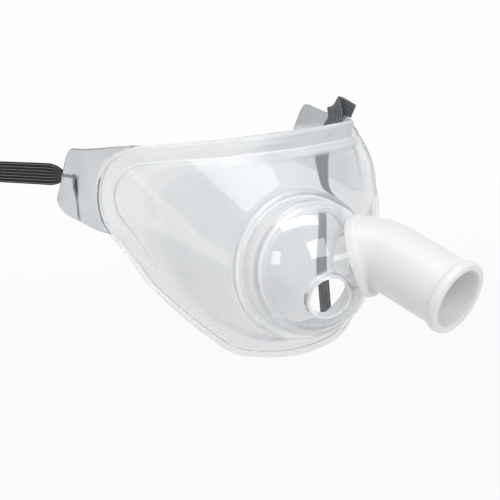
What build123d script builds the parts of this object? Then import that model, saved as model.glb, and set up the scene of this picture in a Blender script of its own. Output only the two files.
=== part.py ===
# Tracheostomy mask: a soft clear shell that stands over a throat stoma, a clear cap that turns in the
# shell's collar, an angled connector for 22 mm breathing tube, and the two ends of an elastic neck band.
# Worn frame: +Z towards the head, -Y out of the front, +X to the right in the front view. The origin is
# on the neck's front line, at the height of the collar's centre. All sizes are in millimetres.

import os
from math import asin, cos, degrees, pi, radians, sin, tan

from build123d import *

# Rim: the band that lies round the throat, with a thicker rolled edge
neck_radius = 50.0
rim_angle = 75.0
rim_thickness = 1.5
rim_top = 39.5
rim_bottom = 31.3
rim_corner_height = 9.6
rolled_edge_width = 2.8
rolled_edge_thickness = 2.6

# Wings: the thin flaps beyond the rim, each with a keyhole slot for the neck band
wing_length = 28.0
wing_thickness = 1.5
wing_top_length = 16.8
wing_tip_height = 20.0
wing_lower_height = 13.1
wing_tip_round = 3.5
right_wing_bend = 65.0
right_wing_bend_radius = 5.0
right_wing_lift = 0.22
slot_reach = 14.8
slot_height = 25.5
slot_width = 3.4
slot_length = 7.6
slit_width = 1.0

# Body: the hollow cone between the rim and the collar. Its outline is given on a plane at the back, which
# meets the neck at the body's angle; there the body stands beyond the neck by its overhang.
wall = 1.5
body_angle = 64.5
body_overhang = 2.2
body_top = 58.6
body_bottom = 36.9
body_waist = 4.5
back_shrink = 3.0

# Collar: the round mouth that the cap snaps into. The soft shell lets it face a little to one side.
collar_face = 18.0
collar_turn = 4.8
collar_radius = 24.0
collar_lip_width = 3.25
collar_lip_thickness = 2.4
collar_edge = 0.8

# Swivel cap: distances forward are from the collar's face, and each step is from the radius before it
cap_radial_clearance = 0.15
cap_axial_clearance = 0.3
cap_flange_step = 1.05
cap_flange_thickness = 1.6
cap_skirt_step = 0.65
cap_skirt_front = 7.2
cap_dome_step = 1.9
cap_dome_start = 9.6
cap_front = 20.0
cap_wall = 1.6

# Spigot on the cap: a short tube that leaves the dome at an angle, with a flat seat round it
spigot_tilt = 50.8
spigot_turn = 16.5
spigot_origin = 7.4
spigot_wall = 1.4
spigot_insertion = 4.2
seat_distance = 14.5
seat_radius = 13.9

# Suction port in the dome
port_radius = 6.5
port_tilt = 18.0
port_turn = -103.0
port_rim_width = 1.0
port_rim_height = 0.6

# Elbow connector: it turns on the spigot
mouth_distance = 14.8
mouth_radius = 13.0
mouth_length = 7.0
elbow_clearance = 0.15
elbow_radius = 11.0
elbow_bore = 9.5
elbow_bend_radius = 12.0
elbow_bend_distance = 6.9
outlet_tilt = 34.1
outlet_turn = -49.0
outlet_length = 31.4
bead_height = 1.0
bead_length = 3.2
bead_edge = 0.7

# Neck band: its gathered end turns into the keyhole with a clearance all round
band_width = 7.4
band_thickness = 1.0
band_gap = 0.3
gather_clearance = 0.5
gather_length = 10.6
spread_length = 11.0
left_band_length = 59.0
left_band_drop = 2.0
right_band_station = 7.3
right_band_rise = 4.6
right_band_drop = 76.0
right_band_lean = 12.0
right_band_return = 9.0
band_fold_round = 1.3


def arch_point(radius, angle):
    """A point in plan on a circle round the neck's axis, from the front line."""
    return (radius * sin(radians(angle)), neck_radius - radius * cos(radians(angle)))


def direction(tilt, turn):
    """A direction tilted from the collar's axis, and turned about it from +X towards +Z."""
    across = sin(radians(tilt))
    return Vector(across * cos(radians(turn)), -cos(radians(tilt)), across * sin(radians(turn)))


back_depth = neck_radius * (1 - cos(radians(body_angle)))
back_half_width = neck_radius * sin(radians(body_angle)) + body_overhang

collar_front = -collar_face
collar_pin = Axis((0, collar_front, 0), (0, 0, 1))
collar_plane = Plane(
    origin=(0, collar_front, 0),
    x_dir=(cos(radians(collar_turn)), sin(radians(collar_turn)), 0),
    z_dir=(sin(radians(collar_turn)), -cos(radians(collar_turn)), 0),
)
collar_lip_radius = collar_radius - collar_lip_width
cap_back = -collar_lip_thickness - cap_axial_clearance - cap_flange_thickness
groove_radius = collar_lip_radius - cap_radial_clearance
cap_flange_radius = collar_lip_radius + cap_flange_step
cap_skirt_radius = collar_lip_radius + cap_skirt_step
cap_dome_radius = cap_skirt_radius - cap_dome_step
dome_height = cap_front - cap_dome_start
dome_sphere = (dome_height**2 + cap_dome_radius**2) / (2 * dome_height)
dome_centre = cap_front - dome_sphere
dome_middle = Vector(0, collar_front - dome_centre, 0)
port_axis = direction(port_tilt, port_turn)

elbow_axis = direction(spigot_tilt, spigot_turn)
outlet_axis = direction(outlet_tilt, outlet_turn)
spigot_base = Vector(0, collar_front - spigot_origin, 0)
spigot_radius = elbow_bore - elbow_clearance
mouth_centre = spigot_base + elbow_axis * mouth_distance
bend_centre = mouth_centre + elbow_axis * elbow_bend_distance
outlet_centre = bend_centre + outlet_axis * outlet_length
bead_radius = elbow_radius + bead_height

gather_width = slot_width - 2 * gather_clearance
left_band_height = slot_height + (slot_length - slot_width) / 2

left_root = arch_point(neck_radius, -rim_angle)
left_way = (-cos(radians(rim_angle)), sin(radians(rim_angle)))
left_plane = Plane(
    origin=(*left_root, 0),
    x_dir=(*left_way, 0),
    z_dir=(sin(radians(rim_angle)), cos(radians(rim_angle)), 0),
)
arch_end = arch_point(neck_radius, rim_angle)
wing_angle = rim_angle + right_wing_bend
bend_axis = (
    arch_end[0] - right_wing_bend_radius * sin(radians(rim_angle)),
    arch_end[1] + right_wing_bend_radius * cos(radians(rim_angle)),
)
right_root = (
    bend_axis[0] + right_wing_bend_radius * sin(radians(wing_angle)),
    bend_axis[1] - right_wing_bend_radius * cos(radians(wing_angle)),
)
right_way = (cos(radians(wing_angle)), sin(radians(wing_angle)))
right_plane = Plane(
    origin=(*right_root, 0),
    x_dir=(*right_way, 0),
    z_dir=(sin(radians(wing_angle)), -cos(radians(wing_angle)), 0),
)


def wing_outline(lift):
    """A wing's outline in its own plane: along the wing, then up; lift raises it towards the tip."""
    corners = [
        (0, rim_corner_height),
        (wing_top_length, wing_lower_height),
        (0.92 * wing_length, 1.16 * wing_lower_height),
        (1.02 * wing_length, wing_tip_height),
        (0.81 * wing_length, 0.73 * rim_top),
        (wing_top_length, 0.95 * rim_top),
        (0, rim_top),
    ]
    return [(along, up + lift * along) for along, up in corners]


def keyhole(lift):
    """The keyhole slot's centre in the wing's plane."""
    return (slot_reach, slot_height + lift * slot_reach)


def body_cone(shrink, shrink_at_back):
    """A solid from the collar to the back plane, made smaller all round at its two ends."""
    half = back_half_width - shrink_at_back
    top = body_top - shrink_at_back
    bottom = body_bottom - shrink_at_back
    with BuildPart(mode=Mode.PRIVATE) as cone:
        with BuildSketch(Plane.XZ.offset(-back_depth)):
            with BuildLine():
                Bezier(
                    (0, -bottom), (0.655 * half, -bottom), (half, body_waist - 0.4 * bottom), (half, body_waist)
                )
                Bezier((half, body_waist), (half, 0.74 * top), (half, top), (0, top))
                mirror(about=Plane.YZ)
            make_face()
        with BuildSketch(collar_plane.offset(-collar_lip_thickness)):
            with BuildLine():
                for quarter in range(4):
                    CenterArc((0, 0), collar_radius - shrink, 90 * quarter - 90, 90)
            make_face()
        loft()
    return cone.part


def rounded_wing(lift):
    """The wing's face, with its free corners rounded."""
    root, lower, toe, tip, shoulder, heel, head = wing_outline(lift)
    with BuildSketch(mode=Mode.PRIVATE) as face:
        with BuildLine():
            FilletPolyline(root, lower, toe, tip, shoulder, heel, head, radius=wing_tip_round)
            Line(head, root)
        make_face()
        with Locations(keyhole(lift)):
            SlotOverall(slot_length, slot_width, rotation=90, mode=Mode.SUBTRACT)
        with Locations(keyhole(lift)):
            Rectangle(slit_width, 3 * slot_length, align=(Align.CENTER, Align.MAX), mode=Mode.SUBTRACT)
    return face.sketch


def arch(radius, thickness, angle):
    """A tall arch round the neck, from a radius outwards, up to an angle on each side."""
    with BuildPart(mode=Mode.PRIVATE) as tall_arch:
        with BuildSketch(Plane.XY.offset(-2 * rim_bottom)):
            with BuildLine():
                inner = CenterArc((0, neck_radius), radius, 270 - angle, 2 * angle)
                outer = CenterArc((0, neck_radius), radius + thickness, 270 - angle, 2 * angle)
                Line(inner @ 0, outer @ 0)
                Line(inner @ 1, outer @ 1)
            make_face()
        extrude(amount=2 * rim_bottom + 2 * rim_top)
    return tall_arch.part


def front_outline(inset):
    """A block with the outline that the front view shows, the same distance inside it all round."""
    side = 1.08 * neck_radius
    with BuildPart(mode=Mode.PRIVATE) as block:
        with BuildSketch(Plane.XZ.offset(-neck_radius)):
            with BuildLine():
                Spline(
                    (0, inset - rim_bottom),
                    (0.39 * neck_radius - 0.4 * inset, 0.92 * inset - 0.87 * rim_bottom),
                    (0.79 * neck_radius - 0.7 * inset, 0.7 * inset - 0.17 * rim_bottom),
                    (0.95 * neck_radius - 0.6 * inset, 0.8 * inset + 0.8 * rim_corner_height),
                    (side, inset + 1.15 * rim_corner_height),
                    tangents=[(1, 0), (1, 0.2)],
                )
                Line((side, inset + 1.15 * rim_corner_height), (side, rim_top - inset))
                Line((side, rim_top - inset), (0, rim_top - inset))
                mirror(about=Plane.YZ)
            make_face()
        extrude(amount=2 * neck_radius)
    return block.part


with BuildPart() as mask_shell:
    # Rim: a thin arch round the neck with a thicker edge all round
    edge_angle = rim_angle - degrees(rolled_edge_width / neck_radius)
    recess_depth = rolled_edge_thickness - rim_thickness
    add(arch(neck_radius, rolled_edge_thickness, rim_angle))
    recess = arch(neck_radius + rim_thickness, 2 * recess_depth, edge_angle)
    add(recess & front_outline(rolled_edge_width), mode=Mode.SUBTRACT)

    # Body: a hollow cone from the rim to the collar, open at the neck
    add(body_cone(0, 0))
    add(body_cone(wall, back_shrink), mode=Mode.SUBTRACT)
    with BuildSketch(Plane.XY.offset(-2 * body_top)):
        with Locations((0, neck_radius)):
            Circle(neck_radius)
    extrude(amount=4 * body_top, mode=Mode.SUBTRACT)
    add(front_outline(0), mode=Mode.INTERSECT)

    # Wings, flush with the rim's neck side
    add(extrude(left_plane * rounded_wing(0), amount=-wing_thickness, mode=Mode.PRIVATE))
    with BuildSketch(Plane.XY.offset(rim_corner_height)):
        with BuildLine():
            bend = CenterArc(bend_axis, right_wing_bend_radius, rim_angle - 90, right_wing_bend)
            outer_bend = CenterArc(
                bend_axis, right_wing_bend_radius + wing_thickness, rim_angle - 90, right_wing_bend
            )
            Line(bend @ 0, outer_bend @ 0)
            Line(bend @ 1, outer_bend @ 1)
        make_face()
    extrude(amount=rim_top - rim_corner_height)
    add(extrude(right_plane * rounded_wing(right_wing_lift), amount=wing_thickness, mode=Mode.PRIVATE))

    # Collar: a lip that closes in on the cap's groove
    with BuildSketch(collar_plane.offset(-collar_lip_thickness)):
        Circle(collar_radius)
    extrude(amount=collar_lip_thickness)
    chamfer(faces().sort_by(Axis.Y)[0].outer_wire().edges(), length=collar_edge)
    with BuildSketch(collar_plane.offset(collar_lip_thickness)):
        Circle(collar_lip_radius)
    extrude(amount=-3 * collar_lip_thickness, mode=Mode.SUBTRACT)


# The cap and the connector are made square to the front, and turned with the collar at the end

def forward(distance):
    """The Y of a place that far in front of the collar's face."""
    return collar_front - distance


def dome_outline(radius, start_radius):
    """The arc of a sphere about the dome's centre, from a radius on its side to its front."""
    angle = asin(start_radius / radius)
    places = [angle, angle / 2, 0]
    return [(radius * sin(a), forward(dome_centre + radius * cos(a))) for a in places]


def along_spigot(distance):
    """The plane square to the spigot's axis at a distance from its origin."""
    return Plane(origin=spigot_base + elbow_axis * distance, z_dir=elbow_axis)


with BuildPart() as swivel_cap:
    # Outside: retaining flange, groove, skirt and dome
    with BuildSketch(Plane.XY):
        with BuildLine():
            dome = ThreePointArc(*dome_outline(dome_sphere, cap_dome_radius))
            Polyline(
                dome @ 1,
                (0, forward(cap_back)),
                (cap_flange_radius, forward(cap_back)),
                (cap_flange_radius, forward(cap_back + cap_flange_thickness)),
                (groove_radius, forward(cap_back + cap_flange_thickness)),
                (groove_radius, forward(cap_axial_clearance)),
                (cap_skirt_radius, forward(cap_axial_clearance)),
                (cap_skirt_radius, forward(cap_skirt_front)),
                dome @ 0,
            )
        make_face()
    revolve(axis=Axis.Y)
    with BuildSketch(along_spigot(seat_distance)):
        Circle(seat_radius)
    extrude(amount=seat_radius, mode=Mode.SUBTRACT)

    # Spigot and the port's raised rim
    with BuildSketch(along_spigot(seat_distance / 3)):
        Circle(spigot_radius)
    extrude(amount=mouth_distance + spigot_insertion - seat_distance / 3)
    with BuildSketch(Plane(origin=dome_middle + port_axis * (dome_sphere - 2 * cap_wall), z_dir=port_axis)):
        Circle(port_radius + port_rim_width)
    extrude(amount=2 * cap_wall + port_rim_height)

    # Inside: the cavity follows the outside one wall further in
    with BuildPart(mode=Mode.PRIVATE) as cavity:
        with BuildSketch(Plane.XY):
            with BuildLine():
                inner_start = cap_dome_radius - 1.1 * cap_wall
                inner_dome = ThreePointArc(*dome_outline(dome_sphere - cap_wall, inner_start))
                Polyline(
                    inner_dome @ 1,
                    (0, forward(cap_back - 1)),
                    (groove_radius - cap_wall, forward(cap_back - 1)),
                    (groove_radius - cap_wall, forward(cap_skirt_front - 0.4 * cap_wall)),
                    inner_dome @ 0,
                )
            make_face()
        revolve(axis=Axis.Y)
        with BuildSketch(along_spigot(seat_distance - cap_wall)):
            Circle(seat_radius + cap_wall)
        extrude(amount=seat_radius, mode=Mode.SUBTRACT)
    add(cavity.part, mode=Mode.SUBTRACT)
    with BuildSketch(along_spigot(seat_distance / 3)):
        Circle(spigot_radius - spigot_wall)
    extrude(amount=mouth_distance, mode=Mode.SUBTRACT)
    with BuildSketch(Plane(origin=dome_middle + port_axis * (dome_sphere - 4 * cap_wall), z_dir=port_axis)):
        Circle(port_radius)
    extrude(amount=8 * cap_wall, mode=Mode.SUBTRACT)

with BuildPart() as elbow_connector:
    with BuildLine() as course:
        FilletPolyline(mouth_centre, bend_centre, outlet_centre, radius=elbow_bend_radius)
    with BuildSketch(along_spigot(mouth_distance)):
        Circle(elbow_radius)
    sweep(path=course.line)
    with BuildSketch(along_spigot(mouth_distance)):
        Circle(mouth_radius)
    with BuildSketch(along_spigot(mouth_distance + mouth_length)):
        Circle(elbow_radius)
    loft()
    with BuildSketch(Plane(origin=outlet_centre, z_dir=-outlet_axis)):
        Circle(bead_radius)
    extrude(amount=bead_length)
    bead_edges = edges().filter_by(lambda edge: abs(edge.length - 2 * pi * bead_radius) < 0.01)
    chamfer(bead_edges, length=bead_edge)
    with BuildSketch(along_spigot(mouth_distance)):
        Circle(elbow_bore)
    sweep(path=course.line, mode=Mode.SUBTRACT)
    with BuildSketch(along_spigot(mouth_distance)):
        Circle(elbow_bore)
    extrude(amount=spigot_insertion + cap_axial_clearance, mode=Mode.SUBTRACT)

with BuildPart() as neck_strap_left:
    # A flat band behind the wing, gathered to a narrow end that turns into the keyhole
    with BuildSketch(left_plane.offset(band_gap)):
        with BuildLine():
            Polyline(
                (slot_reach - gather_width / 2, left_band_height - gather_width / 2),
                (slot_reach + gather_length, left_band_height - gather_width / 2),
                (slot_reach + gather_length + spread_length, left_band_height - band_width / 2),
                (slot_reach + left_band_length, left_band_height - left_band_drop - band_width / 2),
                (slot_reach + left_band_length, left_band_height - left_band_drop + band_width / 2),
                (slot_reach + gather_length + spread_length, left_band_height + band_width / 2),
                (slot_reach + gather_length, left_band_height + gather_width / 2),
                (slot_reach - gather_width / 2, left_band_height + gather_width / 2),
                close=True,
            )
        make_face()
    extrude(amount=band_thickness)
    with BuildSketch(left_plane.offset(band_gap)):
        with Locations((slot_reach, left_band_height)):
            Rectangle(gather_width, gather_width)
    extrude(amount=-wing_thickness - band_gap)

fold_base = Vector(*right_root, 0) + right_plane.x_dir * right_band_station
fold_plane = Plane(
    origin=fold_base, x_dir=right_plane.z_dir, z_dir=right_plane.z_dir.cross(Vector(0, 0, 1))
)
inside = -band_gap - band_thickness / 2
outside = wing_thickness + band_gap + band_thickness / 2
fold_top = rim_top + right_band_rise

with BuildPart() as neck_strap_right:
    # Folded over the wing's top edge: a short end outside, a long end that hangs behind the body
    with BuildLine(fold_plane) as fold:
        FilletPolyline(
            (outside, fold_top - right_band_return),
            (outside, fold_top),
            (inside, fold_top),
            (inside - right_band_drop * tan(radians(right_band_lean)), fold_top - right_band_drop),
            radius=band_fold_round,
        )
    with BuildSketch(Plane(origin=fold.line @ 0, x_dir=fold_plane.x_dir, z_dir=fold.line % 0)):
        Rectangle(band_thickness, band_width)
    sweep(path=fold.line)

os.makedirs("parts", exist_ok=True)
mask_shell.part.label = "mask_shell"
export_step(mask_shell.part, "parts/mask_shell.step")
turned_cap = swivel_cap.part.rotate(collar_pin, collar_turn)
turned_cap.label = "swivel_cap"
export_step(turned_cap, "parts/swivel_cap.step")
turned_elbow = elbow_connector.part.rotate(collar_pin, collar_turn)
turned_elbow.label = "elbow_connector"
export_step(turned_elbow, "parts/elbow_connector.step")
neck_strap_left.part.label = "neck_strap_left"
export_step(neck_strap_left.part, "parts/neck_strap_left.step")
neck_strap_right.part.label = "neck_strap_right"
export_step(neck_strap_right.part, "parts/neck_strap_right.step")
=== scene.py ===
from math import atan2, cos, hypot, pi, radians, sin, tan

import bmesh
import bpy
import numpy as np
from mathutils import Matrix, Vector


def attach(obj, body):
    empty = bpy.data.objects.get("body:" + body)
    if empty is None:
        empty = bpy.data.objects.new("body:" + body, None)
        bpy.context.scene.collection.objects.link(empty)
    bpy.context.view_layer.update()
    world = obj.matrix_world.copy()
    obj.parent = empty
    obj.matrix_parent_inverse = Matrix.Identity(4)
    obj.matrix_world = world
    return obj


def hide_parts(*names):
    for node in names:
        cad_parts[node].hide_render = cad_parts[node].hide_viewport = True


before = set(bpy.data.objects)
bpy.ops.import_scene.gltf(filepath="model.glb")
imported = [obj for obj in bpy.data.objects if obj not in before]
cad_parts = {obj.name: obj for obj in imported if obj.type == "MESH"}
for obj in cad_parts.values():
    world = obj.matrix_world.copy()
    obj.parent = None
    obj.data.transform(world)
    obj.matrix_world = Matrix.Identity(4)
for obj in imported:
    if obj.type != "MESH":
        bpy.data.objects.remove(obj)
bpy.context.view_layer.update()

MM = 0.001

# Sizes of the mask, in millimetres, in the same frame as the solids

# Rim: it lies round the throat, and its loops are taken in polar angles round a point at RIM_MIDDLE's height
NECK_RADIUS = 50.0
RIM_ANGLE = 75.0
RIM_MIDDLE = 4.0
WALL = 1.5
ROLL_RADIUS = 1.35
ROLL_ANGLE = 118

# Wings: the right one bends back and rises more than the solid's, as in the photograph
WING_LENGTH = 28.4
WING_THICKNESS = 1.5
WING_INNER_FACE = 0.1
RIGHT_BEND_RADIUS = 5.0
RIGHT_BEND = 65.0
RIGHT_LIFT = 0.31
SLOT_REACH = 14.8
SLOT_HEIGHT = 25.5
KEYHOLE_RADIUS = 1.7
KEYHOLE_RISE = 2.1

# Lean of the soft right side, where the band pulls it: how far, and over which angles and heights
LEAN = 7.6
LEAN_TURN = (34, 60)
LEAN_HEIGHT = (18, 41)
LEAN_FADE = 20

# Collar: distances in front are from its face, which looks a little to one side
COLLAR_FACE = 18.0
COLLAR_RADIUS = 24.0
COLLAR_TURN = 4.8
COLLAR_ROOT = -4.4
COLLAR_NECK = -3.0

# Swivel cap
CAP_BACK = -4.3
CAP_FLANGE_RADIUS = 21.8
GROOVE_BACK = -2.7
GROOVE_FRONT = 0.3
GROOVE_RADIUS = 20.6
SKIRT_RADIUS = 21.4
SKIRT_FRONT = 7.2
DOME_RADIUS = 19.5
DOME_START = 9.6
CAP_SEGMENTS = 192
CAP_FRONT = 20.0
CAP_WALL = 1.6
PORT_RADIUS = 6.5
PORT_RIM_RISE = 0.6

# Spigot and the flat seat round it: distances are along the spigot from its base
SPIGOT_DEPTH = 7.4
SPIGOT_RADIUS = 9.35
SPIGOT_BORE = 7.95
SPIGOT_TIP = 19.0
SEAT_DISTANCE = 14.5
SEAT_RADIUS = 13.9
SEAT_CLEAR = 28

# Elbow connector
MOUTH_DISTANCE = 14.8
MOUTH_RADIUS = 13.0
ELBOW_RADIUS = 11.0
ELBOW_BORE = 9.5
BEND_DISTANCE = 6.9
BEND_RADIUS = 12.0
OUTLET_LENGTH = 31.4
BEAD_RADIUS = 12.0
ELBOW_SEGMENTS = 112

# Left band: its length, width and height, its gathered end, and how it swells to full width
LEFT_LENGTH = 59.0
LEFT_WIDTH = 7.7
LEFT_THICKNESS = 1.1
LEFT_BEHIND = -0.85
LEFT_HEIGHT = 27.8
LEFT_DROP = 2.1
DROP_START = 22
DROP_LENGTH = 52
GATHERED_WIDTH = 1.1
LOBE_START = 25.3
LOBE_LENGTH = 11.5
KNOT_HEIGHT = 24.6
KNOT_PROUD = 0.4
KNOT_HALF_SIZES = (1.1, 0.85, 4.7)

# Right band: its fold over the wing's top edge, and its long end, which hangs down behind
RIGHT_WIDTH = 6.0
RIGHT_THICKNESS = 1.0
FOLD_TOP = 42.4
FOLD_OUTER = 2.3
FOLD_INNER = -0.8
FOLD_END = 39.2
FOLD_RADIUS = 1.3
FOLD_LEAN = 128
FOLD_SLANT = 1.75
FOLD_REACH = 0.5
FOLD_SEAT_HEIGHT = 41.0
TAIL_BACK = 10.4
TAIL_INWARD = (-0.94, 0.34, 0)
RIGHT_FOOT = -31.5


def direction(tilt, turn):
    """A direction tilted away from the collar's axis, and turned about it from +X towards +Z."""
    across = sin(radians(tilt))
    return Vector((across * cos(radians(turn)), -cos(radians(tilt)), across * sin(radians(turn))))


FRONT = Vector((0, -1, 0))
ELBOW_AXIS = direction(50.8, 16.5)
OUTLET_AXIS = direction(34.1, -49.0)
SPIGOT_BASE = Vector((0, -COLLAR_FACE - SPIGOT_DEPTH, 0))
MOUTH = SPIGOT_BASE + ELBOW_AXIS * MOUTH_DISTANCE
DOME_HEIGHT = CAP_FRONT - DOME_START
DOME_SPHERE = (DOME_HEIGHT**2 + DOME_RADIUS**2) / (2 * DOME_HEIGHT)
DOME_MIDDLE = Vector((0, -COLLAR_FACE - (CAP_FRONT - DOME_SPHERE), 0))
PORT_AXIS = direction(18.0, -103.0)


# Camera: the photograph's viewpoint, with the collar's centre at its pixel in the photograph

CAMERA_DISTANCE = 600
CAMERA_AZIMUTH = -19.6
CAMERA_ELEVATION = 10.3
CAMERA_ROLL = 5.0
SENSOR_WIDTH = 36
FOCAL_PIXELS = 1902.0
PHOTO_SIDE = 500
COLLAR_PIXEL = (304.2, 265.4)


def place_camera():
    azimuth, elevation = radians(CAMERA_AZIMUTH), radians(CAMERA_ELEVATION)
    roll = radians(CAMERA_ROLL)
    distance = CAMERA_DISTANCE * MM
    back = Vector((sin(azimuth) * cos(elevation), -cos(azimuth) * cos(elevation), sin(elevation)))
    level = Vector((cos(azimuth), sin(azimuth), 0))
    rise = back.cross(level)
    right = level * cos(roll) - rise * sin(roll)
    up = rise * cos(roll) + level * sin(roll)
    collar = Vector((0, -COLLAR_FACE * MM, 0))
    across, down = ((pixel - PHOTO_SIDE / 2) / FOCAL_PIXELS for pixel in COLLAR_PIXEL)
    data = bpy.data.cameras.new("view")
    data.lens = SENSOR_WIDTH * FOCAL_PIXELS / PHOTO_SIDE
    data.sensor_width = SENSOR_WIDTH
    data.clip_start = 0.01
    camera = bpy.data.objects.new("view", data)
    camera.matrix_world = Matrix.Translation(
        collar + back * distance - (right * across - up * down) * distance
    ) @ Matrix((right, up, back)).transposed().to_4x4()
    bpy.context.collection.objects.link(camera)
    bpy.context.scene.camera = camera


# Curves

def basis(t):
    """The four weights of a uniform cubic B-spline at t in 0..1, as columns."""
    return np.stack([(1 - t) ** 3, 3 * t**3 - 6 * t**2 + 4, -3 * t**3 + 3 * t**2 + 3 * t + 1, t**3], -1) / 6


def guided(points, count):
    """A smooth curve guided by control points along axis 0, from the first point to the last."""
    p = np.asarray(points, float)
    p = np.concatenate([p[:1], p[:1], p, p[-1:], p[-1:]])
    at = np.linspace(0, len(p) - 3, count)
    start = np.minimum(at.astype(int), len(p) - 4)
    weight = basis(at - start)
    return sum(weight[:, k].reshape((-1,) + (1,) * (p.ndim - 1)) * p[start + k] for k in range(4))


def through(points, count, closed=True):
    """A smooth curve through the points."""
    p = np.asarray(points, float)
    if closed:
        p = np.concatenate([p[-1:], p, p[:2]])
    else:
        p = np.concatenate([2 * p[:1] - p[1:2], p, 2 * p[-1:] - p[-2:-1]])
    at = np.linspace(0, len(p) - 3, count, endpoint=not closed)
    start = np.minimum(at.astype(int), len(p) - 4)
    t = (at - start)[:, None]
    a, b, c, d = (p[start + k] for k in range(4))
    return 0.5 * (2 * b + (c - a) * t + (2 * a - 5 * b + 4 * c - d) * t**2 + (3 * b - a - 3 * c + d) * t**3)


def rounded(corners, steps=5):
    """An outline with rounded corners: each corner is (x, y, radius)."""
    out = [corners[0][:2]]
    for before, (x, y, r), after in zip(corners, corners[1:], corners[2:]):
        here = Vector((x, y))
        to_a = Vector(before[:2]) - here
        to_b = Vector(after[:2]) - here
        if not r:
            out.append((x, y))
            continue
        half = to_a.angle(to_b) / 2
        reach = min(r / tan(half), 0.49 * min(to_a.length, to_b.length))
        r = reach * tan(half)
        to_a.normalize()
        to_b.normalize()
        centre = here + (to_a + to_b).normalized() * (r / sin(half))
        start = here + to_a * reach - centre
        end = here + to_b * reach - centre
        sweep = start.angle_signed(end)
        first = atan2(start.y, start.x)
        for k in range(steps + 1):
            a = first - sweep * k / steps
            out.append((centre.x + r * cos(a), centre.y + r * sin(a)))
    out.append(corners[-1][:2])
    return out


def spaced(line, step):
    """The same line with extra points along its long parts."""
    out = [line[0]]
    for start, end in zip(line, line[1:]):
        across, up = end[0] - start[0], end[1] - start[1]
        count = max(1, round(hypot(across, up) / step))
        out += [(start[0] + across * k / count, start[1] + up * k / count) for k in range(1, count + 1)]
    return np.array(out)


def ramp(value, start, end):
    """Rises smoothly from 0 at start to 1 at end, which may be the lower of the two."""
    t = np.clip((value - start) / (end - start), 0, 1)
    return t * t * (3 - 2 * t)


# Meshes

def grid_mesh(name, grid, wrap_rows=False, wrap_columns=False, cap_rows=False):
    """A mesh over a grid of points in millimetres, closed round its rows or columns if asked."""
    rows, columns, _ = grid.shape
    mesh = bpy.data.meshes.new(name)
    faces = []
    for i in range(rows if wrap_rows else rows - 1):
        for j in range(columns if wrap_columns else columns - 1):
            k, m = (i + 1) % rows, (j + 1) % columns
            faces.append((i * columns + j, i * columns + m, k * columns + m, k * columns + j))
    if cap_rows:
        faces.append(tuple(range(columns))[::-1])
        faces.append(tuple((rows - 1) * columns + j for j in range(columns)))
    mesh.from_pydata((grid.reshape(-1, 3) * MM).tolist(), [], faces)
    settle(mesh)
    return mesh


def settle(mesh, sharp=40):
    """Merges doubled points, turns the faces outwards, and keeps only corners above an angle sharp."""
    work = bmesh.new()
    work.from_mesh(mesh)
    bmesh.ops.remove_doubles(work, verts=work.verts, dist=1e-6)
    bmesh.ops.dissolve_degenerate(work, edges=work.edges, dist=1e-7)
    bmesh.ops.recalc_face_normals(work, faces=work.faces)
    for face in work.faces:
        face.smooth = True
    for edge in work.edges:
        edge.smooth = not (edge.is_manifold and edge.calc_face_angle(0) > radians(sharp))
    work.to_mesh(mesh)
    work.free()


def add_object(name, mesh):
    thing = bpy.data.objects.new(name, mesh)
    bpy.context.collection.objects.link(thing)
    return thing


def join(name, meshes):
    """One mesh that holds all the meshes."""
    work = bmesh.new()
    for mesh in meshes:
        work.from_mesh(mesh)
    mesh = bpy.data.meshes.new(name)
    work.to_mesh(mesh)
    work.free()
    return mesh


def apply_modifiers(thing):
    """Puts the object's mesh with its modifiers in it in place of the plain one."""
    bpy.context.view_layer.update()
    done = bpy.data.meshes.new_from_object(thing.evaluated_get(bpy.context.evaluated_depsgraph_get()))
    thing.modifiers.clear()
    thing.data = done


def combine(mesh, steps):
    """A mesh after boolean steps: each is ("DIFFERENCE" or "UNION", other mesh)."""
    thing = add_object("work", mesh)
    for operation, other in steps:
        tool = add_object("tool", other)
        cut = thing.modifiers.new("cut", "BOOLEAN")
        cut.operation, cut.solver, cut.object = operation, "EXACT", tool
        apply_modifiers(thing)
        bpy.data.objects.remove(tool)
    mesh = thing.data
    bpy.data.objects.remove(thing)
    return mesh


def turned(name, profile, base, axis, segments=128):
    """A turned mesh: the profile's points are (radius, distance along the axis from its base)."""
    side = axis.orthogonal().normalized()
    up = axis.cross(side).normalized()
    angles = np.arange(segments) * 2 * pi / segments
    ring = np.outer(np.cos(angles), side) + np.outer(np.sin(angles), up)
    grid = np.array([np.array(base) + np.array(axis) * d + ring * r for r, d in profile])
    return grid_mesh(name, grid, wrap_columns=True)


def rod(name, base, axis, start, end, radius, segments=96):
    return turned(name, [(0, start), (radius, start), (radius, end), (0, end)], base, axis, segments)


def points_of(mesh):
    """A mesh's points in millimetres."""
    points = np.empty(len(mesh.vertices) * 3)
    mesh.vertices.foreach_get("co", points)
    return points.reshape(-1, 3) / MM


def reshape(mesh, change):
    """Moves a mesh's points by a function of their places in millimetres."""
    mesh.vertices.foreach_set("co", (change(points_of(mesh)) * MM).ravel())
    mesh.update()
    return mesh


def mark(mesh, name, values):
    """Gives each of a mesh's points a value that its finish can read."""
    mesh.attributes.new(name, "FLOAT", "POINT").data.foreach_set("value", np.asarray(values, float))


def face_collar(mesh):
    """Turns a mesh made square to the front, so that it faces the same way as the collar."""
    pin = Vector((0, -COLLAR_FACE * MM, 0))
    turn = Matrix.Rotation(radians(COLLAR_TURN), 4, "Z")
    mesh.transform(Matrix.Translation(pin) @ turn @ Matrix.Translation(-pin))
    return mesh


# Shell: the neck rim, rolled edge, hollow body and collar, in one skin. The rim's loops are given for its
# right half, as (turn round the neck in degrees, height), and the left half is the same.

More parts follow.
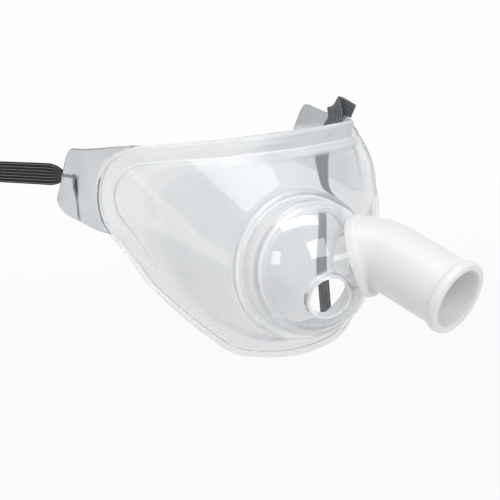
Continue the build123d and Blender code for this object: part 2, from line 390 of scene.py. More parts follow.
SHOULDER = [
    (0, -27.5), (11, -26.5), (22, -22.6), (33, -14.9), (41, -7.6), (45.1, -3.6), (49.9, 1.4), (57.2, 10.2),
    (62.5, 15), (65.3, 19), (65.8, 23.5), (63.8, 27.4), (60.6, 30), (57.2, 32.2), (51.3, 34), (40, 34.6),
    (20, 34.8), (0, 34.8),
]
EDGE = [
    (0, -30.6), (14.5, -29.3), (22.5, -26.7), (33.2, -19), (43, -11.4), (51.6, -4.4), (56, 0.6), (64, 7.6),
    (70.8, 12), (74, 17), (74.3, 23), (71.4, 29.2), (66.4, 33.7), (59, 36.8), (51, 38.3), (40, 38.7),
    (20, 38.7), (0, 38.7),
]
COLLAR_LIP = [
    (21.9, -2.6), (21.1, -2.42), (20.82, -2.1), (20.75, -1.4), (20.78, -0.7), (21.0, -0.22), (21.5, 0.0),
    (22.0, -0.04), (22.35, -0.3), (22.7, -0.04), (23.2, 0.0), (23.75, -0.22), (24.02, -0.8), (24.05, -1.8),
]
BODY_SHARES = (0.18, 0.4, 0.62, 0.82, 0.94, 0.985)
RIM_SHARES = (0.04, 0.14, 0.4, 0.72, 1.0)
FOOT_PROUD = 1.7
SHELL_ROWS = 56
SHELL_COLUMNS = 288


def on_neck(along, up, proud):
    """A point on the throat's curve: an arc length from the front, a height, and how far proud."""
    turn = np.asarray(along, float) / NECK_RADIUS
    reach = NECK_RADIUS + proud
    return np.stack([reach * np.sin(turn), NECK_RADIUS - reach * np.cos(turn), np.asarray(up, float)], -1)


def loop_radius(half_loop, angles):
    """How far a loop on the rim lies from the rim's middle, at each polar angle."""
    half = [(radians(turn) * NECK_RADIUS, up) for turn, up in half_loop]
    whole = half + [(-along, up) for along, up in half[-2:0:-1]]
    along, up = through(whole, 30 * SHELL_COLUMNS).T
    around, far = np.arctan2(up - RIM_MIDDLE, along), np.hypot(along, up - RIM_MIDDLE)
    order = np.argsort(around)
    return np.interp(angles, around[order], far[order], period=2 * pi)


def shell_skin():
    """One closed wall: out from the collar to the rim, over the rolled edge, and back inside to the lip."""
    angles = np.arange(SHELL_COLUMNS) * 2 * pi / SHELL_COLUMNS
    out = np.stack([np.cos(angles), np.sin(angles)], -1)
    shoulder, edge = loop_radius(SHOULDER, angles), loop_radius(EDGE, angles)
    aside, onward = sin(radians(COLLAR_TURN)), cos(radians(COLLAR_TURN))

    def collar_ring(radius, ahead):
        across = out[:, 0] * radius
        back = across * aside - ahead * onward - COLLAR_FACE
        return np.stack([across * onward + ahead * aside, back, out[:, 1] * radius], -1)

    def rim_ring(share, proud):
        far = shoulder + (edge - shoulder) * share
        return on_neck(out[:, 0] * far, RIM_MIDDLE + out[:, 1] * far, proud)

    foot = rim_ring(0, FOOT_PROUD)
    head = collar_ring(COLLAR_RADIUS, COLLAR_ROOT)
    body = [head + (foot - head) * share for share in BODY_SHARES]
    rim = [rim_ring(share, WALL) for share in RIM_SHARES]
    outer = guided([collar_ring(COLLAR_RADIUS, COLLAR_NECK), head] + body + [foot] + rim, SHELL_ROWS)
    along = np.gradient(outer, axis=0)
    around = np.roll(outer, -1, 1) - np.roll(outer, 1, 1)
    normal = np.cross(along, around)
    normal /= np.linalg.norm(normal, axis=2, keepdims=True)
    if normal[SHELL_ROWS // 2, 0, 0] < 0:
        normal = -normal
    inner = outer - WALL * normal
    way = along[-1] / np.linalg.norm(along[-1], axis=1, keepdims=True)
    middle = (outer[-1] + inner[-1]) / 2 + WALL / 2 * way
    rolled = np.radians(np.linspace(ROLL_ANGLE, -ROLL_ANGLE, 11))
    roll = [middle + ROLL_RADIUS * (cos(a) * way + sin(a) * normal[-1]) for a in rolled]
    lip = [collar_ring(radius, ahead) for radius, ahead in COLLAR_LIP]
    wall = np.array(list(outer) + roll + list(inner[::-1]) + lip)
    return grid_mesh("skin", wall, wrap_rows=True, wrap_columns=True)


# Wings: thin flaps beyond the rolled edge, with keyhole slots. Their upper and lower edges are given as
# (distance past the rim's end, height).

WING_HIGH = [
    (-24.2, 39.5), (-20, 40.0), (-12, 39.6), (-4, 38.9), (4, 38.2), (11, 37.8), (14.2, 37.8), (17.3, 36.9),
    (20.2, 33.6), (23.0, 28.8), (25.4, 24.4), (27.6, 21.4), (28.4, 19.2),
]
WING_LOW = [
    (-24.2, 38.6), (-20, 38.2), (-13, 36.4), (-9, 33.6), (-7.4, 28), (-6.8, 13), (-6, 10.8), (-3, 10.2),
    (1, 10.4), (6, 11.0), (12, 12.1), (17, 13.1), (23, 14.2), (26.2, 15.6), (27.9, 17.4), (28.4, 19.2),
]
WING_STATIONS = np.concatenate([
    np.linspace(-24.1, -9, 18), np.linspace(-8.4, -5.4, 13), np.linspace(-4.6, -0.4, 6),
    np.linspace(0, 1.0, 22), np.linspace(1.8, 25.4, 34),
    WING_LENGTH - 0.04 - 2.6 * np.linspace(0.98, 0.02, 12) ** 2,
])
KEYHOLE_TAPER = [(1.6, 1.0), (1.1, 3.4), (0.45, 5.4), (0.35, 18)]


def keyhole_tool():
    """A tall prism in the shape of the keyhole and its slit, in the wing's flat plane."""
    x, y, r = SLOT_REACH, SLOT_HEIGHT, KEYHOLE_RADIUS
    ring = [(x + r * cos(a), y + KEYHOLE_RISE + r * sin(a)) for a in np.linspace(0, pi, 17)]
    ring += [(x - half, y - depth) for half, depth in KEYHOLE_TAPER]
    ring += [(x + half, y - depth) for half, depth in KEYHOLE_TAPER[::-1]]
    rows = [[(along, up, proud) for along, up in ring] for proud in (-4, 6)]
    return grid_mesh("keyhole", np.array(rows, float), wrap_columns=True, cap_rows=True)


def bend_wing(points, side):
    """From the wing's flat plane (along, up, proud) to its place at the end of the rim."""
    along, up, proud = points.T
    root = radians(RIM_ANGLE) * NECK_RADIUS
    arc = on_neck(root + np.minimum(along, 0), up, proud)
    a = radians(RIM_ANGLE)
    if side < 0:
        way = np.array([cos(a), sin(a), 0])
        return (arc + np.maximum(along, 0)[:, None] * way) * [-1, 1, 1]
    bend = RIGHT_BEND_RADIUS * radians(RIGHT_BEND)
    along = along + np.clip(along, 0, 1) * bend
    angle = a + np.clip(along, 0, bend) / RIGHT_BEND_RADIUS
    centre = on_neck(root, 0, -RIGHT_BEND_RADIUS)
    out = np.stack([np.sin(angle), -np.cos(angle), 0 * angle], -1)
    way = np.stack([np.cos(angle), np.sin(angle), 0 * angle], -1)
    past = np.maximum(along - bend, 0)
    curl = centre + out * (RIGHT_BEND_RADIUS + proud)[:, None] + way * past[:, None]
    curl[:, 2] = up + RIGHT_LIFT * past
    return np.where((along > 0)[:, None], curl, arc)


def wing(side):
    """A flap with rounded edges and a keyhole, on the left (-1) or the right (1)."""
    high, low = through(WING_HIGH, 240, False), through(WING_LOW, 240, False)
    across = (1 - np.cos(np.linspace(0, pi, 22))) / 2
    middle = WING_THICKNESS / 2
    outer_face, deep = WING_THICKNESS - WING_INNER_FACE, middle - WING_INNER_FACE
    turns = np.radians([35, 65, 90, 115, 145])
    rows = []
    for along in WING_STATIONS:
        top, bottom = np.interp(along, high[:, 0], high[:, 1]), np.interp(along, low[:, 0], low[:, 1])
        half = min(middle, (top - bottom) / 2)
        face = bottom + half + (top - bottom - 2 * half) * across
        ring = [(along, up, WING_INNER_FACE) for up in face]
        ring += [(along, top - half + half * sin(a), middle - deep * cos(a)) for a in turns]
        ring += [(along, up, outer_face) for up in face[::-1]]
        ring += [(along, bottom + half - half * sin(a), middle + deep * cos(a)) for a in turns]
        rows.append(ring)
    flat = grid_mesh("wing", np.array(rows), wrap_columns=True, cap_rows=True)
    flat = combine(flat, [("DIFFERENCE", keyhole_tool())])
    reshape(flat, lambda points: bend_wing(points, side))
    settle(flat)
    return flat


def right_wing_plane():
    """The root, the direction along and the outward direction of the right wing's flat part."""
    a = radians(RIM_ANGLE + RIGHT_BEND)
    out, way = np.array([sin(a), -cos(a), 0]), np.array([cos(a), sin(a), 0])
    centre = on_neck(radians(RIM_ANGLE) * NECK_RADIUS, 0, -RIGHT_BEND_RADIUS)
    return centre + out * RIGHT_BEND_RADIUS, way, out


def fold_in(points):
    """The soft right side leans in towards its top, where the band pulls it."""
    points = np.array(points, float)
    root, way, _ = right_wing_plane()
    turn = np.degrees(np.arctan2(points[:, 0], NECK_RADIUS - points[:, 1]))
    fade = np.clip(1 - (points - root) @ way / LEAN_FADE, -0.3, 1)
    share = ramp(turn, *LEAN_TURN) * np.where(turn > RIM_ANGLE, fade, 1)
    points[:, 0] -= LEAN * share * ramp(points[:, 2], *LEAN_HEIGHT)
    return points


def mark_shell(mesh):
    """Marks how cloudy each part of the shell is, and paints white highlights on its edges, shoulder, flange
    top, collar and far corner.

    Most ramps run over millimetres: past the rim's edge, off its shoulder, before the collar, or upwards.
    """
    x, y, z = points_of(mesh).T
    turn = np.arctan2(x, NECK_RADIUS - y)
    neck_reach = np.hypot(x, y - NECK_RADIUS)
    along, up = turn * NECK_RADIUS, z - RIM_MIDDLE
    around, reach = np.arctan2(up, along), np.hypot(along, up)
    past_edge = reach - loop_radius(EDGE, around)
    from_shoulder = np.abs(reach - loop_radius(SHOULDER, around))
    past_collar = x * sin(radians(COLLAR_TURN)) - (y + COLLAR_FACE) * cos(radians(COLLAR_TURN))

    on_rim = ramp(neck_reach, 53.2, 52.3)
    wings = ramp(past_edge, 1.9, 2.4)
    right_wing = wings * (x > 0)
    flange = on_rim * (1 - wings)
    bead = on_rim * ramp(past_edge, -2.0, -1.3) * ramp(past_edge, 2.3, 2.0)
    shoulder = on_rim * ramp(from_shoulder, 0.9, 0)
    collar = ramp(past_collar, -3.0, -2.0)
    upper_flange = flange * ramp(z, 33.6, 35.1)
    right_corner = (1 - wings) * ramp(z, 31, 33) * ramp(np.degrees(turn), -16, 10) * (neck_reach < 56)

    cloudiness = 1 - 0.4 * flange + 0.5 * wings + 2.2 * right_corner
    cloudiness += right_wing * (1.9 * ramp(z, 31, 37) - 1.1)
    # bright is a painted highlight: the finish turns the milk white there and adds more of it
    bright = [0.65 * bead, collar, 0.8 * shoulder, 0.4 * upper_flange, 0.6 * right_corner]
    mark(mesh, "cloudiness", cloudiness)
    mark(mesh, "bright", np.max(bright, axis=0))


# Cap

def in_front(profile):
    """Turned-profile points given as (radius, distance in front of the collar's face)."""
    return [(radius, distance + COLLAR_FACE) for radius, distance in profile]


def dome_arc(radius, start_radius, count=22):
    """The dome's profile, from a start radius to the cap's axis."""
    centre = CAP_FRONT - DOME_SPHERE
    angles = np.linspace(np.arcsin(start_radius / radius), 0, count)
    return [(radius * sin(a), centre + radius * cos(a)) for a in angles]


def port_rim():
    """The raised rim round the suction port, as a turned block."""
    low, high = DOME_SPHERE - 2.4, DOME_SPHERE + PORT_RIM_RISE
    profile = rounded([
        (0, low, 0), (PORT_RADIUS + 1.5, low, 0), (PORT_RADIUS + 1.25, DOME_SPHERE - 0.5, 0),
        (PORT_RADIUS + 1.0, high, 0.5), (PORT_RADIUS - 0.2, high, 0), (0, high, 0),
    ])
    return turned("port_rim", profile, DOME_MIDDLE, PORT_AXIS, 96)


def cap_mesh():
    """The cap: a skirt with a groove for the collar's lip, a dome, a port and a spigot on a flat seat."""
    outer_dome = dome_arc(DOME_SPHERE, DOME_RADIUS - 0.5)
    skirt = rounded([
        (0, CAP_BACK, 0), (CAP_FLANGE_RADIUS, CAP_BACK, 0.5), (CAP_FLANGE_RADIUS, GROOVE_BACK, 0.3),
        (GROOVE_RADIUS, GROOVE_BACK, 0), (GROOVE_RADIUS, GROOVE_FRONT, 0), (SKIRT_RADIUS, GROOVE_FRONT, 0.3),
        (SKIRT_RADIUS, SKIRT_FRONT, 1.0), (DOME_RADIUS, DOME_START - 0.1, 1.4), outer_dome[0] + (0,),
    ])
    outside = turned("outside", in_front(skirt + outer_dome[1:]), (0, 0, 0), FRONT, CAP_SEGMENTS)
    bore = GROOVE_RADIUS - CAP_WALL
    inner_dome = dome_arc(DOME_SPHERE - CAP_WALL, DOME_RADIUS - 1.1 * CAP_WALL)
    hollow = rounded([
        (0, CAP_BACK - 1, 0), (bore, CAP_BACK - 1, 0), (bore, SKIRT_FRONT - 0.6, 1.2), inner_dome[0] + (0,),
    ])
    cavity = turned("cavity", in_front(hollow + inner_dome[1:]), (0, 0, 0), FRONT, CAP_SEGMENTS)

    def spigot_rod(name, start, end, radius):
        return rod(name, SPIGOT_BASE, ELBOW_AXIS, start, end, radius)

    seat = spigot_rod("seat", SEAT_DISTANCE, SEAT_CLEAR, SEAT_RADIUS)
    inner_seat = spigot_rod("inner_seat", SEAT_DISTANCE - CAP_WALL, SEAT_CLEAR, SEAT_RADIUS + CAP_WALL)
    spigot = spigot_rod("spigot", 5, SPIGOT_TIP, SPIGOT_RADIUS)
    spigot_bore = spigot_rod("spigot_bore", 4, SPIGOT_TIP + 2, SPIGOT_BORE)
    port = rod("port", DOME_MIDDLE, PORT_AXIS, DOME_SPHERE - 8, DOME_SPHERE + 5, PORT_RADIUS)
    cavity = combine(cavity, [("DIFFERENCE", inner_seat)])
    mesh = combine(outside, [
        ("DIFFERENCE", seat), ("UNION", spigot), ("UNION", port_rim()),
        ("DIFFERENCE", cavity), ("DIFFERENCE", spigot_bore), ("DIFFERENCE", port),
    ])
    settle(mesh, sharp=32)
    return mesh


def mark_cap(mesh):
    """Marks the cap's skirt, spigot and port rim with painted highlights, which turn its milk white there.
    """
    points = points_of(mesh)
    ahead = -COLLAR_FACE - points[:, 1]
    from_dome = points - np.array(DOME_MIDDLE)
    off_axis = np.linalg.norm(np.cross(from_dome, np.array(PORT_AXIS)), axis=1)
    past_base = (points - np.array(SPIGOT_BASE)) @ np.array(ELBOW_AXIS)
    skirt = ramp(ahead, 10.8, 8.8)
    port = ramp(off_axis, 7.9, 7.4) * (from_dome @ np.array(PORT_AXIS) > 15)
    spigot = ramp(past_base, 11.4, 13.0)
    mark(mesh, "cloudiness", np.ones(len(points)))
    # bright is a painted highlight on the skirt, port rim and spigot
    mark(mesh, "bright", np.max([0.8 * skirt, port, 0.9 * spigot], axis=0))


# Elbow

def elbow_mesh():
    """A tube that bends once, with a bell at its mouth and a bead at its outlet."""
    turn = ELBOW_AXIS.angle(OUTLET_AXIS)
    across = ELBOW_AXIS.cross(OUTLET_AXIS).normalized()
    toward = across.cross(ELBOW_AXIS).normalized()
    setback = BEND_RADIUS * tan(turn / 2)
    first, arc = BEND_DISTANCE - setback, BEND_RADIUS * turn
    length = first + arc + OUTLET_LENGTH - setback

    def station(d):
        """The centreline's point and its direction towards the bend's inside."""
        a = min(max((d - first) / BEND_RADIUS, 0), turn)
        way = ELBOW_AXIS * cos(a) + toward * sin(a)
        inward = toward * cos(a) - ELBOW_AXIS * sin(a)
        place = MOUTH + ELBOW_AXIS * min(d, first)
        if d > first:
            place = place + (ELBOW_AXIS * sin(a) + toward * (1 - cos(a))) * BEND_RADIUS
        return place + way * max(d - first - arc, 0), inward

    bell = [
        (MOUTH_RADIUS, 0.0), (MOUTH_RADIUS, 1.6), (12.95, 2.5), (12.7, 2.85), (12.3, 3.0), (12.1, 3.3),
        (11.95, 4.2), (11.5, 5.8), (11.15, 7.6), (ELBOW_RADIUS, 9.4),
    ]
    straight = [(ELBOW_RADIUS, d) for d in np.linspace(10.5, length - 6, 30)]
    bead = [
        (ELBOW_RADIUS, length - 4.2), (11.1, length - 3.6), (11.65, length - 3.25),
        (BEAD_RADIUS, length - 2.7), (BEAD_RADIUS, length - 1.0), (11.75, length - 0.3),
        (11.2, length), (10.1, length), (9.7, length - 0.2), (ELBOW_BORE, length - 0.7),
    ]
    inside = [(ELBOW_BORE, d) for d in np.linspace(length - 1.4, 5.2, 34)]
    mouth = [(ELBOW_BORE, 4.2), (ELBOW_BORE, 0.9), (9.7, 0.3), (10.1, 0.0), (12.4, 0.0), (12.8, 0.08)]
    angles = np.arange(ELBOW_SEGMENTS) * 2 * pi / ELBOW_SEGMENTS
    rings = []
    for radius, d in bell + straight + bead + inside + mouth:
        place, inward = station(d)
        ring = np.outer(np.cos(angles), inward) * radius + np.outer(np.sin(angles), across) * radius
        rings.append(np.array(place) + ring)
    return grid_mesh("elbow", np.array(rings), wrap_rows=True, wrap_columns=True)


# Neck band: the crest value is highest on a rib's ridge, and the finish turns it into pale threads

RIBS = 7
ACROSS = np.linspace(-0.5, 0.5, RIBS * 8 + 1)
RIDGES = np.abs(np.sin(pi * RIBS * (ACROSS + 0.5)))
CREST_MIDDLE = 0.965
CREST_PALE = 1.0
CREST_KNOT = 0.935


def band_section(width, thickness):
    """A flat ribbed section: points (across, proud), closed."""
    rib = 0.5 * thickness * (0.74 + 0.26 * RIDGES**0.7)
    rib = rib * np.sqrt(np.clip(1 - (np.abs(ACROSS) / 0.503) ** 14, 0, 1))
    top = np.stack([ACROSS * width, rib], -1)
    return np.concatenate([top, (top * [1, -1])[::-1]])


def band(name, path, side, widths, thickness, pale=False, soft=1.0):
    """A ribbed band along a path, with its width direction and its width at each point.

    Where pale is true its threads are pale all round. A soft below 1 fades its stripes.
    """
    path, side = np.asarray(path, float), np.asarray(side, float)
    way = np.gradient(path, axis=0)
    way /= np.linalg.norm(way, axis=1, keepdims=True)
    side = side - way * np.sum(side * way, 1, keepdims=True)
    side /= np.linalg.norm(side, axis=1, keepdims=True)
    proud = np.cross(side, way)
    rings = []
    for place, s, n, width in zip(path, side, proud, widths):
        section = band_section(width, thickness)
        rings.append(place + section[:, :1] * s + section[:, 1:] * n)
    mesh = grid_mesh(name, np.array(rings), wrap_columns=True, cap_rows=True)
    crest = CREST_MIDDLE + (RIDGES - CREST_MIDDLE) * soft
    crests = np.tile(np.concatenate([crest, crest[::-1]]), (len(path), 1))
    crests[np.broadcast_to(pale, len(path))] = CREST_PALE
    mark(mesh, "crest", crests.ravel())
    return mesh


def knot(root, way, out):
    """A small egg-shaped knot that holds the left band in its keyhole."""
    wide, deep, tall = KNOT_HALF_SIZES
    rows = []
    for u in np.linspace(0.06, pi - 0.06, 24):
        height = np.array([0, 0, KNOT_HEIGHT + tall * cos(u)])
        ring = []
        for v in np.linspace(0, 2 * pi, 20, endpoint=False):
            along, proud = SLOT_REACH + wide * sin(u) * cos(v), KNOT_PROUD + deep * sin(u) * sin(v)
            ring.append(root + way * along + out * proud + height)
        rows.append(ring)
    mesh = grid_mesh("knot", np.array(rows), wrap_columns=True, cap_rows=True)
    mark(mesh, "crest", np.full(len(mesh.vertices), CREST_KNOT))
    return mesh


def left_band():
    """A flat band behind the wing; its gathered end turns through the keyhole."""
    a = radians(RIM_ANGLE)
    root = np.array([-NECK_RADIUS * sin(a), NECK_RADIUS - NECK_RADIUS * cos(a), 0])
    way, out = np.array([-cos(a), sin(a), 0]), np.array([-sin(a), -cos(a), 0])
    end = SLOT_REACH + LEFT_LENGTH
    corners = [(SLOT_REACH, 1.3, 0), (SLOT_REACH, LEFT_BEHIND, 0.8), (end, LEFT_BEHIND, 0)]
    along, proud = spaced(rounded(corners), 0.5).T
    lobe = np.clip((along - LOBE_START) / LOBE_LENGTH, 0, 1)
    width = np.maximum(GATHERED_WIDTH, LEFT_WIDTH * (1 - (1 - lobe) ** 2) ** 0.52)
    path = root + along[:, None] * way + proud[:, None] * out
    path[:, 2] = LEFT_HEIGHT - LEFT_DROP * np.clip((along - DROP_START) / DROP_LENGTH, 0, 1) ** 1.1
    upright = np.tile([0, 0, 1.0], (len(along), 1))
    strap = band("neck_band_left", path, upright, width, LEFT_THICKNESS, pale=lobe == 0)
    return join("neck_band_left", [strap, knot(root, way, out)])


def right_band():
    """A band folded over the wing's top edge; its long end hangs down behind the body.

    The line is (how far proud of the wing, height). Its outer end leans aside, and its hanging end moves
    inward and twists on its way down.
    """
    root, way, _ = right_wing_plane()
    base = fold_in([root - way * FOLD_REACH + np.array([0, 0, FOLD_SEAT_HEIGHT])])[0]
    lean = radians(FOLD_LEAN)
    flat_way, flat_out = np.array([cos(lean), sin(lean), 0]), np.array([sin(lean), -cos(lean), 0])
    inner_top = (FOLD_INNER, FOLD_TOP, FOLD_RADIUS)
    fold = [(FOLD_OUTER, FOLD_END, 0), (FOLD_OUTER, FOLD_TOP, FOLD_RADIUS), inner_top]
    tail = [(FOLD_INNER - TAIL_BACK * ramp(z, 44, -18), z, 0) for z in np.linspace(39, RIGHT_FOOT, 46)]
    tilted = flat_way * 0.5 - np.array([0, 0, 0.87])
    path, sides = [], []
    for proud, z in spaced(rounded(fold + tail, 8), 0.6):
        hanging = ramp(proud, 0.9, -1.5)
        aside = (1 - hanging) * (FOLD_TOP - z) * FOLD_SLANT
        inward = hanging * (4.4 * ramp(z, 38.5, 28.5) - 2.0 * ramp(z, 26, 8) + 0.8 * ramp(z, 8, -17))
        twist = radians(FOLD_LEAN - 37 * ramp(z, 30, 14) + 13 * ramp(z, 4, -14))
        flat = base * [1, 1, 0] + flat_out * proud - flat_way * aside + np.array(TAIL_INWARD) * inward
        path.append(flat + np.array([0, 0, z]))
        sides.append(np.array([cos(twist), sin(twist), 0]) * hanging + tilted * (1 - hanging))
    return band("neck_band_right", path, sides, np.full(len(path), RIGHT_WIDTH), RIGHT_THICKNESS, soft=0.04)


# Finishes

def arithmetic(operation, swapped=False):
    """An operator that adds a Math node, with its two values the other way round if swapped."""
    def operator(value, other):
        values = (other, value) if swapped else (value, other)
        return value.finish.node("Math", {"operation": operation}, dict(enumerate(values)))
    return operator


class Value:
    """A shader socket that takes part in arithmetic."""

    def __init__(self, finish, socket):
        self.finish, self.socket = finish, socket

    __add__, __radd__ = arithmetic("ADD"), arithmetic("ADD", swapped=True)
    __sub__, __rsub__ = arithmetic("SUBTRACT"), arithmetic("SUBTRACT", swapped=True)
    __mul__, __rmul__ = arithmetic("MULTIPLY"), arithmetic("MULTIPLY", swapped=True)
    __truediv__, __rtruediv__ = arithmetic("DIVIDE"), arithmetic("DIVIDE", swapped=True)
    __pow__, __rpow__ = arithmetic("POWER"), arithmetic("POWER", swapped=True)

    def clip(self):
        """The value held between 0 and 1."""
        return self.finish.node("Math", {"operation": "ADD", "use_clamp": True}, {0: self, 1: 0.0})


class Finish:
    """A material, or the world, built from nodes."""

    def __init__(self, owner):
        owner.use_nodes = True
        self.tree = owner.node_tree
        self.tree.nodes.clear()

    def node(self, kind, settings=None, inputs=None, out=0):
        """Adds a node with its settings and its sockets' values or links, and gives one of its outputs."""
        made = self.tree.nodes.new("ShaderNode" + kind)
        for name, value in (settings or {}).items():
            setattr(made, name, value)
        for name, value in (inputs or {}).items():
            if isinstance(value, Value):
                self.tree.links.new(value.socket, made.inputs[name])
            else:
                made.inputs[name].default_value = value
        return Value(self, made.outputs[out]) if len(made.outputs) else None

    def mark(self, name):
        """A value that the mesh's points hold."""
        return self.node("Attribute", {"attribute_name": name}, out="Fac")

    def mix_colour(self, share, first, second):
        """A blend of two colours: sockets 6, 7 and output 2 are the Mix node's colour ones."""
        return self.node("Mix", {"data_type": "RGBA"}, {"Factor": share, 6: first, 7: second}, out=2)

    def noise(self, scale, detail):
        where = self.node("TexCoord", out="Object")
        return self.node("TexNoise", {}, {"Vector": where, "Scale": scale, "Detail": detail})

    def relief(self, height, strength, distance):
        return self.node("Bump", {}, {"Strength": strength, "Distance": distance, "Height": height})

    def finish(self, surface, output="OutputMaterial"):
        self.node(output, {}, {"Surface": surface})


def grey(level, blue=0.0):
    """A grey, with a little more blue in it if asked."""
    return (level, level + blue * 0.5, level + blue, 1)


CLEAR_TINT = grey(0.97, 0.012)
# The milk's own colour, and the white that it is painted where a highlight is marked
MILK_DARK, MILK_HIGHLIGHT = grey(0.3, 0.075), grey(0.9, 0.02)
LAMP_SHADE = grey(0.86)


def clear_plastic(name, edge_tint, haze, rough, coat, ripple, ripple_scale):
    """Clear plastic with milk in it: darker where it is seen edge on, with faint moulding ripple, and
    painted highlights where its mesh marks them white.
    """
    material = bpy.data.materials.new(name)
    finish = Finish(material)
    facing = finish.node("LayerWeight", {}, {"Blend": 0.5}, out="Facing")
    edge_on, outline = facing ** 1.5, facing ** 5.0
    cloud = finish.noise(38.0, 2.0)
    relief = finish.relief(finish.noise(ripple_scale, 1.5), 0.35, ripple)
    glass = finish.node("BsdfPrincipled", {}, {
        "Base Color": finish.mix_colour(outline, CLEAR_TINT, edge_tint),
        "Roughness": rough + 0.04 * cloud,
        "Transmission Weight": 1.0,
        "IOR": 1.38,
        "Coat Weight": coat,
        "Normal": relief,
    })
    # Painted highlight: where the mesh marks it, the milk turns white and grows thicker
    bright = finish.mark("bright")
    milk = finish.node("BsdfPrincipled", {}, {
        "Base Color": finish.mix_colour(bright, MILK_DARK, MILK_HIGHLIGHT),
        "Roughness": 0.35,
        "Normal": relief,
    })
    cloudy = finish.mark("cloudiness") * haze * (0.55 + 0.9 * cloud) * (1.0 - 0.8 * edge_on)
    share = (cloudy + 0.22 * bright).clip()
    body = finish.node("MixShader", {}, {0: share, 1: glass, 2: milk})
    to_lamp = finish.node("LightPath", out="Is Shadow Ray")
    passing = finish.node("BsdfTransparent", {}, {"Color": LAMP_SHADE})
    finish.finish(finish.node("MixShader", {}, {0: to_lamp, 1: body, 2: passing}))
    return material


def frosted_plastic():
    """Frosted white plastic: lets a little light through, with a fine matt grain, random grey clouds and
    painted shade where it is seen edge on.
    """
    material = bpy.data.materials.new("frosted white connector")
    finish = Finish(material)
    cloud = finish.noise(45.0, 3.0)
    grain = finish.noise(2600.0, 2.0)
    edge_on = finish.node("LayerWeight", {}, {"Blend": 0.4}, out="Facing")
    # Greyer in random clouds, the plastic's own tone, and darker where seen edge on, which is painted shade
    mottle_and_edge_shade = (0.7 * cloud + 0.4 * edge_on).clip()
    finish.finish(finish.node("BsdfPrincipled", {"subsurface_method": "RANDOM_WALK"}, {
        "Base Color": finish.mix_colour(mottle_and_edge_shade, grey(0.95, 0.01), grey(0.89, 0.02)),
        "Roughness": 0.3 + 0.12 * cloud + 0.05 * grain,
        "Subsurface Weight": 0.35,
        "Subsurface Radius": (1.0, 1.0, 1.0),
        "Subsurface Scale": 0.004,
        "IOR": 1.49,
        "Transmission Weight": 0.18,
        "Normal": finish.relief(grain, 0.12, 0.00006),
    }))
    return material


def ribbed_elastic():
    """Dark woven elastic: flecked pale threads on its ribs, over fine fibre."""
    material = bpy.data.materials.new("ribbed elastic")
    finish = Finish(material)
    fibre = finish.noise(2600.0, 3.0)
    fleck = finish.noise(900.0, 3.0)
    ridge = ((finish.mark("crest") - 0.92) * 16.0).clip()
    thread = (ridge * (0.25 + 0.9 * fleck) + 0.03 * fibre).clip()
    finish.finish(finish.node("BsdfPrincipled", {}, {
        "Base Color": finish.mix_colour(thread, (0.006, 0.007, 0.008, 1), (0.36, 0.38, 0.4, 1)),
        "Roughness": 0.78 + 0.15 * fibre,
        "Specular IOR Level": 0.25,
        "Normal": finish.relief(fibre, 0.8, 0.00012),
    }))
    return material


# Pieces

def add_piece(name, mesh, material, body, node):
    """Adds a finished piece, with its body and the solid that it stands for."""
    mesh.materials.clear()
    mesh.materials.append(material)
    mesh.name = name
    piece = add_object(name, mesh)
    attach(piece, body)
    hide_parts(node)


def make_shell():
    mesh = combine(shell_skin(), [("UNION", wing(-1)), ("UNION", wing(1))])
    reshape(mesh, fold_in)
    settle(mesh, sharp=75)
    mark_shell(mesh)
    return mesh


def make_cap():
    mesh = cap_mesh()
    mark_cap(mesh)
    return face_collar(mesh)


vinyl = clear_plastic(
    "clear soft vinyl", edge_tint=grey(0.78, 0.01), haze=0.25, rough=0.03, coat=0.0, ripple=0.0006,
    ripple_scale=42.0,
)
rigid = clear_plastic(
    "clear rigid plastic", edge_tint=grey(0.85, 0.01), haze=0.27, rough=0.015, coat=0.8, ripple=0.0003,
    ripple_scale=50.0,
)
elastic = ribbed_elastic()

add_piece("shell", make_shell(), vinyl, "mask", "mask_shell")
add_piece("cap", make_cap(), rigid, "swivel", "swivel_cap")
add_piece("elbow", face_collar(elbow_mesh()), frosted_plastic(), "elbow", "elbow_connector")
add_piece("neck_band_left", left_band(), elastic, "mask", "neck_strap_left")
add_piece("neck_band_right", right_band(), elastic, "mask", "neck_strap_right")


# Studio, in metres

FLOOR_HEIGHT = -0.12
FLOOR_RADIUS = 6
ROOM_LIGHT = 0.44
WHITE_LIGHT = 0.99


def seen_or_mirrored(finish):
    """One for the camera, for reflections and through clear plastic, where the studio looks white."""
    seen = finish.node("LightPath", out="Is Camera Ray")
    mirrored = finish.node("LightPath", out="Is Glossy Ray")
    passed = finish.node("LightPath", out="Is Transmission Ray")
    return (seen + mirrored + passed).clip()


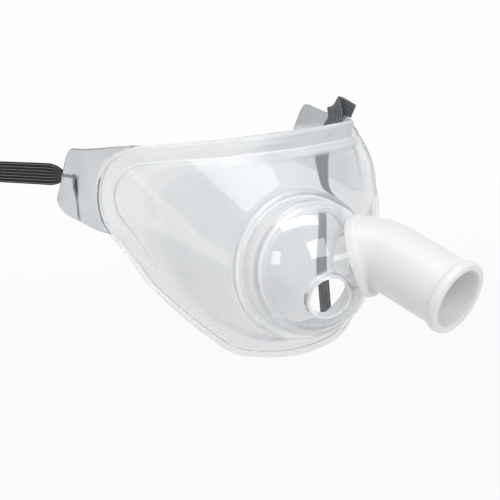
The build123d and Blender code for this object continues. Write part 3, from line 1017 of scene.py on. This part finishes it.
def make_floor():
    """A pale floor that keeps a faint shadow and turns white away from the mask."""
    material = bpy.data.materials.new("pale floor")
    finish = Finish(material)
    where = finish.node("TexCoord", out="Object")
    from_middle = finish.node("VectorMath", {"operation": "LENGTH"}, {0: where}, out="Value")
    far = ((from_middle - 0.25) / 0.7).clip()
    plain = finish.node("BsdfDiffuse", {}, {"Color": grey(0.86)})
    glow = finish.node("Emission", {}, {"Color": grey(WHITE_LIGHT), "Strength": 1.0})
    share = (seen_or_mirrored(finish) * (0.88 + 0.12 * far)).clip()
    finish.finish(finish.node("MixShader", {}, {0: share, 1: plain, 2: glow}))
    mesh = bpy.data.meshes.new("floor")
    angles = np.linspace(0, 2 * pi, 64, endpoint=False)
    ring = [(FLOOR_RADIUS * cos(a), FLOOR_RADIUS * sin(a), FLOOR_HEIGHT) for a in angles]
    mesh.from_pydata(ring, [], [tuple(range(len(ring)))])
    mesh.materials.append(material)
    add_object("floor", mesh)


def make_world():
    """A dim room that looks white where it is seen, mirrored or looked through."""
    world = bpy.data.worlds.new("studio")
    bpy.context.scene.world = world
    finish = Finish(world)
    strength = ROOM_LIGHT + seen_or_mirrored(finish) * (WHITE_LIGHT - ROOM_LIGHT)
    room = finish.node("Background", {}, {"Color": (1, 1, 1, 1), "Strength": strength})
    finish.finish(room, "OutputWorld")


def softbox(name, at, target, width, height, radiance):
    """A rectangular lamp at a place, turned towards a target, that looks equally bright at any size."""
    data = bpy.data.lights.new(name, "AREA")
    data.shape, data.size, data.size_y = "RECTANGLE", width, height
    data.energy = radiance * pi * width * height
    lamp = bpy.data.objects.new(name, data)
    lamp.location = at
    lamp.rotation_euler = (Vector(target) - Vector(at)).to_track_quat("-Z", "Y").to_euler()
    bpy.context.collection.objects.link(lamp)


place_camera()
make_floor()
make_world()
softbox("top", (-0.02, -0.2, 1.0), (0, 0, 0), 0.95, 0.34, 4.2)
softbox("front", (0.22, -0.9, 0.52), (0, -0.03, 0), 0.55, 0.5, 4.4)
softbox("side", (-0.95, -0.6, 0.42), (0, 0, 0), 0.28, 0.4, 3.5)
softbox("strip", (-1.1, 0.3, 0.06), (0, 0, 0.02), 0.3, 0.28, 1.4)
bpy.context.scene.view_settings.view_transform = "Standard"

bpy.context.view_layer.update()
